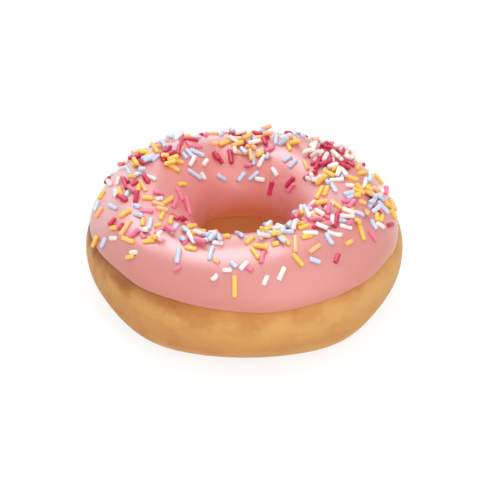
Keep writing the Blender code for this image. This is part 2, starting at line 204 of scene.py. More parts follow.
def mesh_object(name: str, points: Iterable[Sequence[float]], faces: Sequence[Face]) -> bpy.types.Object:
    """Makes a mesh object and puts it in the scene.

    Args:
        name: Name of the object and of its mesh.
        points: The mesh's points.
        faces: Indices of the points of each face.

    Returns:
        The new object.
    """
    mesh = bpy.data.meshes.new(name)
    mesh.from_pydata([tuple(point) for point in points], [], faces)
    new_object = bpy.data.objects.new(name, mesh)
    bpy.context.scene.collection.objects.link(new_object)
    return new_object


def ring_piece(
    name: str, around: int, loop: Callable[[float], Sequence[Vector]], node: str
) -> bpy.types.Object:
    """Makes one closed piece from closed loops of points that follow each other round the ring.

    Args:
        name: Name of the piece.
        around: Number of loops.
        loop: Gives the loop at an azimuth in radians, with as many points as the others.
        node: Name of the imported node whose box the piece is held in.

    Returns:
        The new object, shaded smooth.
    """
    loops = [loop(2 * math.pi * i / around) for i in range(around)]
    count = len(loops[0])
    faces: list[Face] = []
    for i in range(around):
        here, there = i * count, (i + 1) % around * count
        for j in range(count):
            ahead = (j + 1) % count
            faces.append((here + j, there + j, there + ahead, here + ahead))
    piece = mesh_object(name, [point for points in loops for point in points], faces)
    piece.data.shade_smooth()
    # The fine skin stays inside the box of the solid that it stands for
    low, high = (Vector(corner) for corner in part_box(node))
    for vertex in piece.data.vertices:
        vertex.co = Vector(max(low[i], min(high[i], vertex.co[i])) for i in range(3))
    return piece


@dataclass(frozen=True)
class LightSoak:
    """How light sinks into a stuff: its share, how far each of its colours goes, and the depth."""

    share: float
    colours: tuple[float, float, float]
    depth: float

    def inputs(self) -> dict[str, Any]:
        """Gives the shader's inputs for it."""
        names = ("Subsurface Weight", "Subsurface Radius", "Subsurface Scale")
        return dict(zip(names, (self.share, self.colours, self.depth)))


@dataclass(frozen=True)
class FriedDoughFinish:
    """Yeast dough fried in hot fat: golden brown, faintly greasy, smooth with shallow dimples.

    Turning it over in the fat leaves a paler band round its side, and the crust browns in soft patches. The
    crease under the icing is painted darker, partly a browner crust and partly painted shade under the icing's
    lip, more so on the left. The wall of the hole is painted a darker, redder brown, which is painted shade and a
    painted red glow of light bounced from the icing. The foot is painted paler, a painted light from the bright
    floor, and more of the browned colour lies on the left than on the right.
    """

    browned: str = "#B56C29"
    crease_brown_and_shade: str = "#8C4716"
    # Painted shade and painted pink bounce light for the dough of the hole's wall
    hole_shade_and_bounce: str = "#C15D1A"
    # Height and colour of the stops up its side: the foot, painted paler as painted light from the bright floor,
    # the crust, the paler band and the browned top
    side_colours: tuple[tuple[float, str], ...] = (
        (3.0 * MM, "#CE9C5C"), (8.5 * MM, "#C58539"), (15.0 * MM, "#DFAE68"), (21.0 * MM, "#B56C29"),
    )
    ramp_height: float = 26.25 * MM
    height_wander: Span = (0.0, 1.0, -3.0 * MM, 3.0 * MM)
    patch_size: float = 8.0 * MM
    patch_flatness: float = 1.6
    patch_roughness: float = 0.55
    patch_browning: Span = (0.42, 0.70, 0.0, 0.42)
    # More of the browned colour towards the left, less towards the right
    side_browning: Span = (-44.0 * MM, 44.0 * MM, 0.30, -0.15)
    # The crease under the icing: partly a browner crust, partly painted shade under the icing's lip, more so on
    # the left
    crease_brown_and_shade_height: Span = (14.5 * MM, 19.5 * MM, 0.0, 0.9)
    crease_brown_and_shade_side: Span = (-38.0 * MM, -4.0 * MM, 1.0, 0.0)
    # Where the hole's wall is painted darker and redder, for shade and for light bounced from the pink icing
    hole_wall: Span = (13.0 * MM, 21.0 * MM, 1.0, 0.0)
    # The crust's pores are under a millimetre across, and are drawn coarser so that they show
    grain_size: float = 2.4 * MM
    grain_roughness: float = 0.6
    noise_detail: float = 3.0
    # Strength and height of the fine grain's relief and of the shallow dimples
    grain_relief: tuple[float, float] = (0.3, 0.12 * MM)
    dimple_relief: tuple[float, float] = (0.6, 0.9 * MM)
    roughness: Span = (0.0, 1.0, 0.48, 0.68)
    ior: float = 1.42
    soak: LightSoak = LightSoak(0.12, (1.0, 0.45, 0.18), 1.2 * MM)

    def material(self) -> bpy.types.Material:
        """Makes the material of the dough's crust."""
        material, tree, shader, place = new_material("Yeast dough, deep fried")
        x, height, radius = ring_place(tree, place)
        squat = add_node(tree, "Mapping", {"Vector": place, "Scale": (1.0, 1.0, self.patch_flatness)})
        patches, grain = (
            add_node(tree, "TexNoise", {
                "Vector": where, "Scale": 1 / size, "Detail": self.noise_detail, "Roughness": rough,
            })
            for where, size, rough in (
                (squat, self.patch_size, self.patch_roughness),
                (place, self.grain_size, self.grain_roughness),
            )
        )
        wander, patch_share, left_brown_share, to_left, inward, gloss = (
            add_node(tree, "MapRange", {"Value": measure, **dict(zip(SPAN_SOCKETS, span))})
            for measure, span in (
                (patches, self.height_wander), (patches, self.patch_browning), (x, self.side_browning),
                (x, self.crease_brown_and_shade_side), (radius, self.hole_wall), (grain, self.roughness),
            )
        )
        level = add_node(tree, "Math", {0: height, 1: wander}, operation="ADD")
        share = add_node(tree, "Math", {0: level, 1: self.ramp_height}, operation="DIVIDE")
        colour = add_node(tree, "ValToRGB", {"Fac": share})
        ramp = colour.node.color_ramp
        ramp.interpolation = "B_SPLINE"
        while len(ramp.elements) < len(self.side_colours):
            ramp.elements.new(0.5)
        for element, (stop_height, tint) in zip(ramp.elements, self.side_colours):
            element.position = stop_height / self.ramp_height
            element.color = linear(tint)
        near_icing = add_node(tree, "MapRange", {
            "Value": level, **dict(zip(SPAN_SOCKETS, self.crease_brown_and_shade_height)),
        }, interpolation_type="SMOOTHSTEP")
        brown_share = add_node(tree, "Math", {0: patch_share, 1: left_brown_share}, operation="ADD")
        crease_brown_and_shade_share = add_node(tree, "Math", {0: near_icing, 1: to_left}, operation="MULTIPLY")
        # The browned patches, the crease's painted shade and the hole wall's painted shade and bounce light are
        # mixed in
        shares = (brown_share, crease_brown_and_shade_share, inward)
        for share, tint in zip(shares, (self.browned, self.crease_brown_and_shade, self.hole_shade_and_bounce)):
            colour = add_node(tree, "Mix", {
                MIX_SHARE: share, MIX_FIRST: colour, MIX_SECOND: linear(tint),
            }, MIX_OUT, data_type="RGBA")
        normal: dict[str, Socket] = {}
        for (strength, distance), relief in ((self.grain_relief, grain), (self.dimple_relief, patches)):
            normal["Normal"] = add_node(tree, "Bump", {
                "Strength": strength, "Distance": distance, "Height": relief, **normal,
            })
        set_inputs(shader, {
            "Base Color": colour, "Roughness": gloss, "IOR": self.ior, **normal, **self.soak.inputs(),
        })
        return material


@dataclass(frozen=True)
class FondantFinish:
    """Pouring fondant, dipped and set: a smooth satin skin that light sinks into a little before it leaves.

    Low down, where it thins over the dough, it turns salmon; it is painted darker on the left, a painted shade,
    and darker still at the foot of the hole's wall, thin icing with painted shade. Higher in the hole a redder
    pink is painted for light bounced between the pink walls. Its glaze and its gloss fade towards the low edge,
    so that the foot of the hole's wall shows no shine.
    """

    pink: str = "#D38984"
    deep_pink: str = "#D1857D"
    # Redder pink painted in the hole for light bounced between the pink walls
    throat_bounce_pink: str = "#DE8881"
    low_salmon: str = "#CC7E5C"
    # Painted shade: the low salmon is painted darker towards the left
    low_salmon_shaded_left: str = "#BD6E57"
    # Foot of the hole's wall: the thin icing's salmon with painted shade deep in the hole
    low_throat_thin_and_shaded: str = "#D06F48"
    low_height: float = 14.5 * MM
    full_gloss: float = 0.5
    outside: Span = (18.0 * MM, 24.0 * MM, 0.0, 1.0)
    # Where the painted shade on the left comes in
    left: Span = (0.0, -38.0 * MM, 0.0, 1.0)
    # In the hole and outside: the height at which the pink is full, and the low edge's glaze and gloss
    high_heights: tuple[float, float] = (20.5 * MM, 25.5 * MM)
    edge_glazes: tuple[float, float] = (0.0, 0.35)
    edge_glosses: tuple[float, float] = (0.1, 0.5)
    drift_size: float = 16.0 * MM
    drift_detail: float = 2.0
    ripple_size: float = 7.0 * MM
    ripple_detail: float = 1.0
    ripple_strength: float = 0.5
    ripple_height: float = 0.5 * MM
    roughness: Span = (0.0, 1.0, 0.32, 0.40)
    ior: float = 1.5
    glaze_roughness: float = 0.31
    soak: LightSoak = LightSoak(0.3, (1.0, 0.4, 0.35), 1.2 * MM)

    def material(self) -> bpy.types.Material:
        """Makes the material of the icing."""
        material, tree, shader, place = new_material("Sugar fondant, dipped")
        x, height, radius = ring_place(tree, place)
        drift, ripple = (
            add_node(tree, "TexNoise", {"Vector": place, "Scale": 1 / size, "Detail": detail})
            for size, detail in ((self.drift_size, self.drift_detail), (self.ripple_size, self.ripple_detail))
        )
        outside, to_left, gloss = (
            add_node(tree, "MapRange", {"Value": measure, **dict(zip(SPAN_SOCKETS, span))})
            for measure, span in ((radius, self.outside), (x, self.left), (drift, self.roughness))
        )
        high_height, edge_glaze, edge_gloss = (
            add_node(tree, "MapRange", {"Value": outside, "To Min": in_hole, "To Max": at_side})
            for in_hole, at_side in (self.high_heights, self.edge_glazes, self.edge_glosses)
        )
        rise = add_node(tree, "MapRange", {
            "Value": height, "From Min": self.low_height, "From Max": high_height,
        }, interpolation_type="SMOOTHSTEP")
        glaze, base_gloss = (
            add_node(tree, "MapRange", {"Value": rise, "To Min": at_edge, "To Max": full})
            for at_edge, full in ((edge_glaze, 1.0), (edge_gloss, self.full_gloss))
        )
        tints: dict[str, Any] = {
            name: linear(getattr(self, name))
            for name in ("pink", "deep_pink", "throat_bounce_pink", "low_salmon", "low_salmon_shaded_left", "low_throat_thin_and_shaded")
        }
        for name, share, first, second in (
            ("body", drift, "pink", "deep_pink"),
            ("salmon", to_left, "low_salmon", "low_salmon_shaded_left"),
            ("low", outside, "low_throat_thin_and_shaded", "salmon"),
            ("high", outside, "throat_bounce_pink", "body"),
            ("all", rise, "low", "high"),
        ):
            tints[name] = add_node(tree, "Mix", {
                MIX_SHARE: share, MIX_FIRST: tints[first], MIX_SECOND: tints[second],
            }, MIX_OUT, data_type="RGBA")
        relief = add_node(tree, "Bump", {
            "Strength": self.ripple_strength, "Distance": self.ripple_height, "Height": ripple,
        })
        set_inputs(shader, {
            "Base Color": tints["all"], "Roughness": gloss, "Normal": relief, "IOR": self.ior,
            "Specular IOR Level": base_gloss, "Coat Weight": glaze, "Coat Roughness": self.glaze_roughness,
            **self.soak.inputs(),
        })
        return material


class StrandColour(Enum):
    """The sprinkles' colours by their letter in lists: the word in a piece's name, and the sRGB colour."""

    Y = ("yellow", "#FFC95C")
    O = ("orange", "#FFBE86")
    W = ("white", "#F8E9E5")
    B = ("pale_blue", "#CBD6EE")
    P = ("pink", "#EC7D9A")
    C = ("crimson", "#CC2C52")


@dataclass(frozen=True)
class SugarStrandFinish:
    """Extruded sugar paste, dried and glazed: one colour, softly shiny, a little uneven from rod to rod."""

    colour: StrandColour
    batch_size: float = 5.0 * MM
    batch_detail: float = 1.0
    batches: Span = (0.35, 0.65, 0.0, 1.0)
    darkening: float = 0.93
    roughness: float = 0.38
    ior: float = 1.5
    soak: LightSoak = LightSoak(0.2, (1.0, 0.7, 0.5), 0.4 * MM)

    def material(self) -> bpy.types.Material:
        """Makes the material of one colour of sprinkle."""
        label, hex_colour = self.colour.value
        material, tree, shader, place = new_material(f"Sugar paste, extruded, {label}")
        bright = linear(hex_colour)
        dull = tuple(channel * self.darkening for channel in bright[:3]) + (1.0,)
        batch = add_node(tree, "TexNoise", {
            "Vector": place, "Scale": 1 / self.batch_size, "Detail": self.batch_detail,
        })
        share = add_node(tree, "MapRange", {"Value": batch, **dict(zip(SPAN_SOCKETS, self.batches))})
        tint = add_node(tree, "Mix", {
            MIX_SHARE: share, MIX_FIRST: bright, MIX_SECOND: dull,
        }, MIX_OUT, data_type="RGBA")
        set_inputs(shader, {
            "Base Color": tint, "Roughness": self.roughness, "IOR": self.ior, **self.soak.inputs(),
        })
        return material


@dataclass(frozen=True)
class LightTableFinish:
    """Opal acrylic sheet, sanded matt and lit from below, so that a shadow on it stays faint."""

    white: str = "#848484"
    shade: str = "#808080"
    cloud_size: float = 300.0 * MM
    roughness: float = 0.9
    gloss: float = 0.1
    glow_colour: str = "#FFFFFF"
    glow: float = 0.80

    def material(self) -> bpy.types.Material:
        """Makes the material of the floor."""
        material, tree, shader, place = new_material("Acrylic sheet, sanded opal")
        cloud = add_node(tree, "TexNoise", {"Vector": place, "Scale": 1 / self.cloud_size})
        tint = add_node(tree, "Mix", {
            MIX_SHARE: cloud, MIX_FIRST: linear(self.white), MIX_SECOND: linear(self.shade),
        }, MIX_OUT, data_type="RGBA")
        set_inputs(shader, {
            "Base Color": tint, "Roughness": self.roughness, "Specular IOR Level": self.gloss,
            "Emission Strength": self.glow, "Emission Color": linear(self.glow_colour),
        })
        return material


@dataclass(frozen=True)
class DoughForm:
    """Shape of the dough ring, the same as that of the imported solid."""

    hole_x: float = 0.19 * MM
    hole_y: float = 0.70 * MM
    side_radius: float = 43.8 * MM
    side_height: float = 12.8 * MM
    crest_radius: float = 26.7 * MM
    crest_height: float = 29.7 * MM
    throat_radius: float = 14.2 * MM
    throat_height: float = 12.5 * MM
    foot_outer_radius: float = 31.0 * MM
    foot_inner_radius: float = 20.0 * MM
    outer_top_bulge: float = -0.08
    inner_top_bulge: float = 0.0
    inner_low_bulge: float = 0.03
    outer_low_bulge: float = 0.03
    low_corners: tuple[Wave, ...] = ((231, 18, 0.10), (270, 20, -0.03), (309, 18, 0.10))
    side_waves: tuple[Wave, ...] = (
        (1, 0.50 * MM, 258), (2, 0.20 * MM, 150), (3, 0.20 * MM, 34), (4, 0.35 * MM, 0),
    )
    crest_waves: tuple[Wave, ...] = (
        (1, 0.15 * MM, 170), (2, 0.90 * MM, 167), (3, 0.90 * MM, 37), (5, 0.12 * MM, 75),
    )
    throat_waves: tuple[Wave, ...] = ((2, 0.25 * MM, 60), (3, 0.25 * MM, 100))
    lumps: tuple[Wave, ...] = ((7, 0.10 * MM, 30), (11, 0.08 * MM, 5))

    @property
    def tube_radius(self) -> float:
        """Half the width of the ring's tube."""
        return (self.side_radius - self.throat_radius) / 2

    def low_bulge(self, azimuth: float) -> float:
        """Gives the bulge of the section's low outer quarter at an azimuth in radians."""
        total = self.outer_low_bulge
        for at, reach, change in self.low_corners:
            total += change * hump(azimuth, at, reach)
        return total

    def point(self, azimuth: float, section: float) -> Vector:
        """Gives a point of the dough's surface.

        Args:
            azimuth: Azimuth in radians.
            section: Section angle in radians.

        Returns:
            The point, in metres.
        """
        across, up = math.cos(section), math.sin(section)
        side = self.side_radius + waves(self.side_waves, azimuth)
        throat = self.throat_radius + waves(self.throat_waves, azimuth)
        crest = self.crest_height + waves(self.crest_waves, azimuth)
        level = self.side_height if across > 0 else self.throat_height
        if up >= 0:
            middle = self.crest_radius
            reach_up = crest - level
            bulge = self.outer_top_bulge if across > 0 else self.inner_top_bulge
        else:
            middle = self.foot_outer_radius if across > 0 else self.foot_inner_radius
            reach_up = level
            bulge = self.low_bulge(azimuth) if across > 0 else self.inner_low_bulge
        reach_out = side - middle if across > 0 else middle - throat
        swell = 1 + bulge * math.sin(2 * section) ** 2
        lump = waves(self.lumps, azimuth) * across * abs(across) * math.cos(3 * section)
        radius = middle + reach_out * across * swell + lump
        height = max(0.0, level + reach_up * up * swell)
        x, y = self.hole_x + radius * math.cos(azimuth), self.hole_y + radius * math.sin(azimuth)
        return Vector((x, y, height))

    def outward(self, azimuth: float, section: float) -> Vector:
        """Gives the outward unit normal of the dough's surface."""
        along, across = slopes(self.point, azimuth, section)
        return along.cross(across).normalized()

    def lifted(self, azimuth: float, section: float, height: float) -> Vector:
        """Gives the point at a height over the dough's surface."""
        return self.point(azimuth, section) + self.outward(azimuth, section) * height


@dataclass(frozen=True)
class IcingForm:
    """Shape of the icing over the dough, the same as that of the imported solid."""

    dough: DoughForm = field(default_factory=DoughForm)
    air_gap: float = 0.35 * MM
    thickness: float = 1.75 * MM
    lip_thickness: float = 0.80 * MM
    lip_width: float = 1.5 * MM
    lip_rise_width: float = 9.0 * MM
    skin_lip_width: float = 2.8 * MM
    outer_edge: float = 21.8
    inner_edge: float = 178.5
    outer_edge_waves: tuple[Wave, ...] = ((1, 4.0, 270), (2, 2.0, 61), (3, 1.4, 104), (5, 0.3, 64))
    inner_edge_waves: tuple[Wave, ...] = ((1, 2.0, 36), (2, 1.4, 76), (3, 1.0, 87), (5, 0.7, 23))
    # The skin's sags below the even edge: azimuth, reach along the ring and depth, in degrees
    skin_sags: tuple[Wave, ...] = (
        (227, 11, 2.4), (280, 9, 1.3), (324, 8, 1.4), (346, 10, 2.6), (200, 14, 1.0),
    )
    # Azimuth, section angle, reach along the ring and across it, in degrees, and height
    swells: tuple[tuple[float, float, float, float, float], ...] = (
        (62, 78, 9, 20, 0.55 * MM),
        (48, 66, 8, 22, -0.60 * MM),
        (100, 62, 26, 24, -0.45 * MM),
        (238, 48, 7, 16, -0.30 * MM),
        (222, 62, 10, 20, 0.25 * MM),
        (255, 66, 10, 18, 0.25 * MM),
        (190, 122, 12, 16, -0.35 * MM),
        (325, 120, 12, 16, 0.30 * MM),
    )

    def edges(self, azimuth: float) -> tuple[float, float]:
        """Gives the section angles, in radians, of the icing's outer and inner edge at an azimuth."""
        outer = self.outer_edge + waves(self.outer_edge_waves, azimuth)
        inner = self.inner_edge + waves(self.inner_edge_waves, azimuth)
        return math.radians(outer), math.radians(inner)

    def from_edges(self, section: float, edges: tuple[float, float]) -> float:
        """Gives the distance, in metres, from a section angle to the nearer of two edges."""
        return max(0.0, min(section - edges[0], edges[1] - section)) * self.dough.tube_radius

    def swell_height(self, azimuth: float, section: float) -> float:
        """Gives the height that the soft swells and dents add."""
        total = 0.0
        for at, across, reach_along, reach_across, height in self.swells:
            u = angle_gap(azimuth, at) / reach_along
            v = (math.degrees(section) - across) / reach_across
            total += height * math.exp(-u * u - v * v)
        return total

    def layers(self, azimuth: float, section: float, away: float) -> tuple[float, float]:
        """Gives the icing's even thickness and the height of its swells.

        Args:
            azimuth: Azimuth in radians.
            section: Section angle in radians.
            away: Distance to the icing's nearer edge, in metres.

        Returns:
            Both heights in metres.
        """
        fill = min(1.0, away / self.lip_rise_width)
        thick = self.lip_thickness + (self.thickness - self.lip_thickness) * fill * fill * (3 - 2 * fill)
        return thick, self.swell_height(azimuth, section) * fill

    def depth(self, azimuth: float, section: float) -> float:
        """Gives the icing's thickness above the air gap, in metres."""
        away = self.from_edges(section, self.edges(azimuth))
        thick, swell = self.layers(azimuth, section, away)
        return thick * round_rise(away / self.lip_width) + swell

    def point(self, azimuth: float, section: float) -> Vector:
        """Gives a point of the surface that the sprinkles rest on."""
        return self.dough.lifted(azimuth, section, self.air_gap + self.depth(azimuth, section))

    def skin_edges(self, azimuth: float) -> tuple[float, float]:
        """Gives the section angles, in radians, of the visible skin's outer and inner edge at an azimuth."""
        outer, inner = self.edges(azimuth)
        for at, reach, depth in self.skin_sags:
            outer -= math.radians(depth) * hump(azimuth, at, reach)
        return outer, inner

    def skin_point(self, azimuth: float, section: float) -> Vector:
        """Gives a point of the visible skin, whose lip comes down on to the dough."""
        away = self.from_edges(section, self.skin_edges(azimuth))
        thick, swell = self.layers(azimuth, section, away)
        height = (self.air_gap + thick + swell) * round_rise(away / self.skin_lip_width)
        return self.dough.lifted(azimuth, section, height)

    def frame(
        self, azimuth: float, section: float
    ) -> tuple[Vector, Vector, Vector, Vector, tuple[float, float]]:
        """Gives the surface's directions at a place.

        Args:
            azimuth: Azimuth in radians.
            section: Section angle in radians.

        Returns:
            The point, the unit directions along the ring, across it and outwards, and how fast each angle
            grows with the distance along its direction.
        """
        along, across = slopes(self.point, azimuth, section)
        up = along.cross(across).normalized()
        forward = along.normalized()
        rates = (2 * SLOPE_STEP / along.length, 2 * SLOPE_STEP / across.length)
        return self.point(azimuth, section), forward, up.cross(forward), up, rates


@dataclass(frozen=True)
class Strand:
    """A sprinkle at rest: the middle of its rod, its direction, half its length and its colour."""

    centre: Vector
    axis: Vector
    half_length: float
    colour: StrandColour


Place = tuple[float, float, float, float]


@dataclass
class StrandFall:
    """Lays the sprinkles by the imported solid's own rule, and goes on past the last of those."""

    icing: IcingForm = field(default_factory=IcingForm)
    radius: float = 0.66 * MM
    sink: float = 0.40 * MM
    bite: float = 0.14 * MM
    length: float = 3.4 * MM
    length_spread: float = 0.8 * MM
    shortest: float = 1.9 * MM
    longest: float = 6.0 * MM
    steepest_lean: float = 0.75
    tallest_pile: float = 2.3 * MM
    touch_samples: int = 7
    # Parts of half a rod at which others may rest on it, and how near, in radii, a rod counts as beside it
    rod_parts: int = 4
    near_radii: int = 3
    seed: int = 41
    draws_a_strand: int = 4
    drift_edge: float = 1.6
    view_height: float = 35
    # Azimuth, section angle, slant and length in mm as seen from the front, and colour
    lone: tuple[tuple[float, float, float, float, str], ...] = (
        # front face
        (266, 48.5, 90, 5.7, "Y"), (257.7, 56, 45, 2.2, "W"), (262.6, 62.5, 0, 2.5, "W"),
        (265.2, 67.5, -40, 2.2, "B"), (269.7, 66.5, 45, 3.0, "W"), (272, 63.5, -20, 1.9, "P"),
        (278, 52.7, 65, 2.8, "W"), (284.7, 56.5, 65, 3.8, "W"), (310.5, 55, 65, 2.5, "C"),
        (300.4, 60.5, -20, 3.0, "B"), (293.2, 65, -50, 4.2, "Y"), (303, 70, 35, 3.5, "O"),
        (295.3, 78.5, 90, 4.2, "O"), (313, 72.7, -60, 3.6, "B"), (320.8, 61.5, 30, 2.0, "Y"),
        (331, 61.5, -75, 4.8, "Y"), (333, 69.5, -60, 1.9, "Y"), (318, 74.7, -15, 4.2, "W"),
        (306.5, 84, 0, 4.2, "W"), (318, 86, -15, 3.5, "B"), (326.3, 73.5, -15, 3.5, "W"),
        (340.2, 56.5, -60, 3.0, "B"), (343.2, 50, -30, 2.5, "W"), (347, 52, 70, 1.9, "Y"),
        (278, 72.5, 75, 3.2, "P"), (274.8, 76.5, -55, 3.5, "Y"), (278.2, 81, -20, 4.2, "Y"),
        (273, 90, 40, 2.8, "Y"), (291.5, 84, -50, 3.2, "Y"), (285.7, 82.5, 15, 1.9, "Y"),
        (307, 93.5, 20, 3.0, "Y"), (307.5, 98.5, -10, 1.9, "Y"), (313.5, 88, 20, 2.4, "C"),
        (321.3, 95.5, -30, 3.3, "Y"),
        # left of the front
        (238.7, 67.5, 80, 4.0, "B"), (253.8, 76, 75, 3.6, "B"), (257.2, 69.7, -30, 1.9, "O"),
        (241, 56.5, 30, 2.0, "P"), (242.8, 77, -10, 3.3, "Y"), (237.5, 83, 60, 2.8, "P"),
        (246.2, 84, -25, 2.4, "P"), (255.4, 86.5, -5, 3.0, "W"), (254.5, 97, -60, 3.8, "P"),
        (250, 97, 20, 2.8, "O"), (259, 98, 0, 1.9, "Y"), (247, 106, 0, 1.9, "W"), (235.5, 96, -60, 2.5, "Y"),
        (230.5, 94.5, 15, 1.9, "Y"), (226, 88.5, 60, 2.6, "B"), (233.6, 91, -30, 2.4, "B"),
        (266.5, 106, -35, 3.6, "B"), (218.2, 51, 0, 2.0, "W"), (217.8, 45.5, 10, 2.3, "Y"),
        (211.5, 56.5, -20, 3.5, "Y"), (221.3, 67, 5, 3.2, "Y"), (223.3, 72, -20, 1.9, "Y"),
        (225.7, 75, 70, 2.0, "W"), (205.4, 61.5, 60, 5.0, "O"), (200, 52, 0, 2.0, "Y"),
        (197, 54, 65, 2.8, "C"), (203.8, 46, 0, 1.9, "W"), (200.3, 34.5, 65, 3.0, "B"),
        (195, 26.5, 60, 3.2, "Y"),
        # left side
        (184, 41, 55, 3.2, "O"), (178, 36.5, 70, 3.2, "B"), (173.5, 43, 60, 2.8, "Y"),
        (197.7, 67.5, 30, 3.6, "Y"), (188.5, 59, -25, 2.5, "B"), (182, 68, -70, 2.5, "Y"),
        (185, 83, 75, 2.8, "Y"), (191.5, 80.5, 70, 2.8, "C"), (197.5, 78.5, -20, 1.9, "B"),
        (194, 88, -5, 3.0, "Y"), (189.8, 99.7, -15, 3.2, "P"), (195, 98.7, 10, 1.9, "W"),
        (195.5, 108, 35, 2.8, "Y"), (205.8, 96, -15, 3.5, "O"), (215.7, 102, -40, 2.5, "C"),
        (174.5, 71.5, -35, 2.6, "C"), (179, 73, -75, 2.4, "C"), (180, 124.5, -65, 4.0, "P"),
        (190, 133, -60, 5.0, "P"), (196, 116, 75, 3.0, "P"), (188, 69.5, -20, 2.6, "C"),
        (186, 74, 60, 1.9, "B"), (182, 64, 80, 2.0, "W"), (173.5, 65, 50, 2.2, "W"),
        (160.5, 72, -60, 2.6, "Y"), (163.5, 77.5, -55, 2.6, "Y"), (162, 81, -40, 1.9, "C"),
        (168, 72.5, -60, 2.4, "B"), (173.5, 81.5, 30, 2.4, "B"), (171, 85, 20, 2.0, "B"),
        (176, 78.5, 0, 1.9, "Y"), (176, 93, -25, 3.0, "W"), (168, 50, -45, 2.2, "W"),
        (213.5, 78.5, 80, 3.0, "B"), (209.5, 75.5, 80, 2.0, "Y"), (217.5, 82, 10, 2.2, "Y"),
        (221.5, 79, 35, 3.4, "P"), (226, 84, -35, 3.0, "P"), (215, 71.5, -20, 2.6, "W"),
        (212, 90.5, 70, 2.0, "Y"), (218, 94.5, 80, 2.0, "Y"), (220, 108, 10, 1.9, "C"),
        (228, 107, -25, 3.0, "P"),
        # far wall of the hole and the back
        (167, 124.5, 0, 1.9, "Y"), (145.5, 127, -35, 4.4, "B"), (137, 131.7, -60, 2.3, "W"),
        (135, 107.5, -50, 4.0, "B"), (127.3, 119.5, 60, 2.0, "W"), (112.5, 117, -60, 3.4, "C"),
        (115.5, 115, -55, 3.0, "C"), (102.3, 115.5, -80, 4.2, "C"), (115.9, 136.5, -30, 2.8, "B"),
        (93.5, 137.5, 50, 3.2, "B"), (80.5, 136.5, 40, 3.6, "B"), (73.5, 139.5, -10, 2.8, "W"),
        (59, 146.5, 75, 4.0, "C"), (60, 130.5, -60, 2.8, "W"), (37.5, 134.5, 50, 3.6, "C"),
        (32.5, 138, 50, 3.0, "P"), (22.5, 117, 30, 4.3, "C"), (53.7, 114, 30, 3.0, "B"),
        (46.2, 117.5, 45, 3.0, "B"), (34, 112.5, -70, 2.6, "O"), (82.5, 118, 88, 4.0, "B"),
        (87, 126, 0, 2.4, "P"), (75, 121, 60, 4.0, "W"), (77.7, 112.5, 35, 3.0, "Y"),
        (79.5, 96, -5, 3.3, "O"), (92.8, 111.5, -5, 4.5, "O"), (120, 68, 10, 2.2, "Y"),
        (125, 76, -70, 2.2, "C"), (118, 82, 10, 1.9, "B"), (134, 91, 85, 2.8, "C"),
        (128.5, 93, -50, 2.2, "P"), (124, 99, -5, 2.0, "P"), (143, 79, 0, 2.0, "O"),
        (147, 80, -45, 3.2, "Y"), (143.5, 84, -45, 2.0, "B"), (149.5, 92, 20, 2.2, "C"),
        (143, 95.5, 0, 2.4, "B"), (143, 101, 60, 2.4, "O"), (140.5, 106, -50, 2.2, "B"),
        (157, 89, 40, 2.4, "B"), (162, 86, 20, 2.4, "B"), (110, 70, 80, 2.4, "P"), (102, 72, 60, 3.0, "B"),
        (110.5, 97, 10, 1.9, "O"), (104, 97.5, 30, 3.4, "Y"), (92.5, 70, -5, 3.4, "Y"),
        (94, 78, -20, 2.2, "C"), (91.5, 101.5, 60, 2.6, "C"), (84, 82, 10, 2.4, "C"), (80, 72, 20, 2.0, "B"),
        (86, 103.5, 0, 2.6, "Y"), (76, 98.5, -70, 2.2, "C"), (71, 107, 35, 3.2, "P"), (70, 90, 80, 3.0, "B"),
        (64, 70, 20, 2.0, "B"), (70.5, 116, 60, 1.9, "B"), (48, 83, 30, 2.4, "P"), (41.5, 80, -15, 2.6, "C"),
        (34, 74, -20, 2.4, "P"), (34.5, 87.5, 5, 2.6, "C"), (27.5, 87, 80, 3.0, "W"),
        (20.5, 77, -40, 2.6, "C"), (20, 69, 60, 2.2, "Y"), (20.5, 84, 20, 2.6, "C"),
        (8.5, 105.5, -60, 3.0, "B"), (12.5, 112, 20, 2.4, "W"),
        # right side
        (356, 113.5, 60, 4.0, "Y"), (355, 106.5, 65, 3.0, "Y"), (356.7, 98.5, -65, 2.8, "B"),
        (4.5, 95, 0, 4.0, "W"), (9.5, 88.5, 80, 2.6, "B"), (6, 81.5, -20, 3.4, "Y"), (16, 94, 80, 2.0, "Y"),
        (14.5, 84.5, 20, 3.0, "C"), (25.5, 95, 40, 3.4, "C"), (22, 96.5, 30, 3.0, "C"),
        (29, 104.5, 10, 3.2, "C"), (30.5, 93, 70, 2.8, "C"), (21, 100.5, 15, 2.6, "C"),
        (38, 96.5, 25, 4.0, "C"), (44, 96, 20, 2.2, "O"), (28, 72, 40, 2.4, "Y"), (13.5, 70, 10, 2.3, "Y"),
        (3.5, 68, -65, 3.0, "Y"), (359, 84, -5, 2.8, "W"), (356, 77.5, -25, 3.6, "Y"),
        (356, 70, -70, 3.0, "O"), (0.5, 58.5, 10, 2.2, "W"), (352.5, 64.5, 55, 3.3, "B"),
        (349.8, 58.5, -50, 3.0, "C"), (354.6, 52.3, -50, 4.5, "B"), (0.5, 42.5, -35, 3.0, "Y"),
        (345, 83, -5, 4.0, "P"), (349.5, 82.5, 20, 2.4, "B"), (348.5, 73, -20, 2.2, "O"),
        (336.5, 80, 30, 3.8, "O"), (339.5, 72, -20, 3.2, "B"), (337, 101, -40, 2.4, "C"),
        (333, 94, 15, 3.0, "W"), (330, 84.5, 40, 2.0, "C"), (328, 79.5, -10, 3.0, "B"),
    )
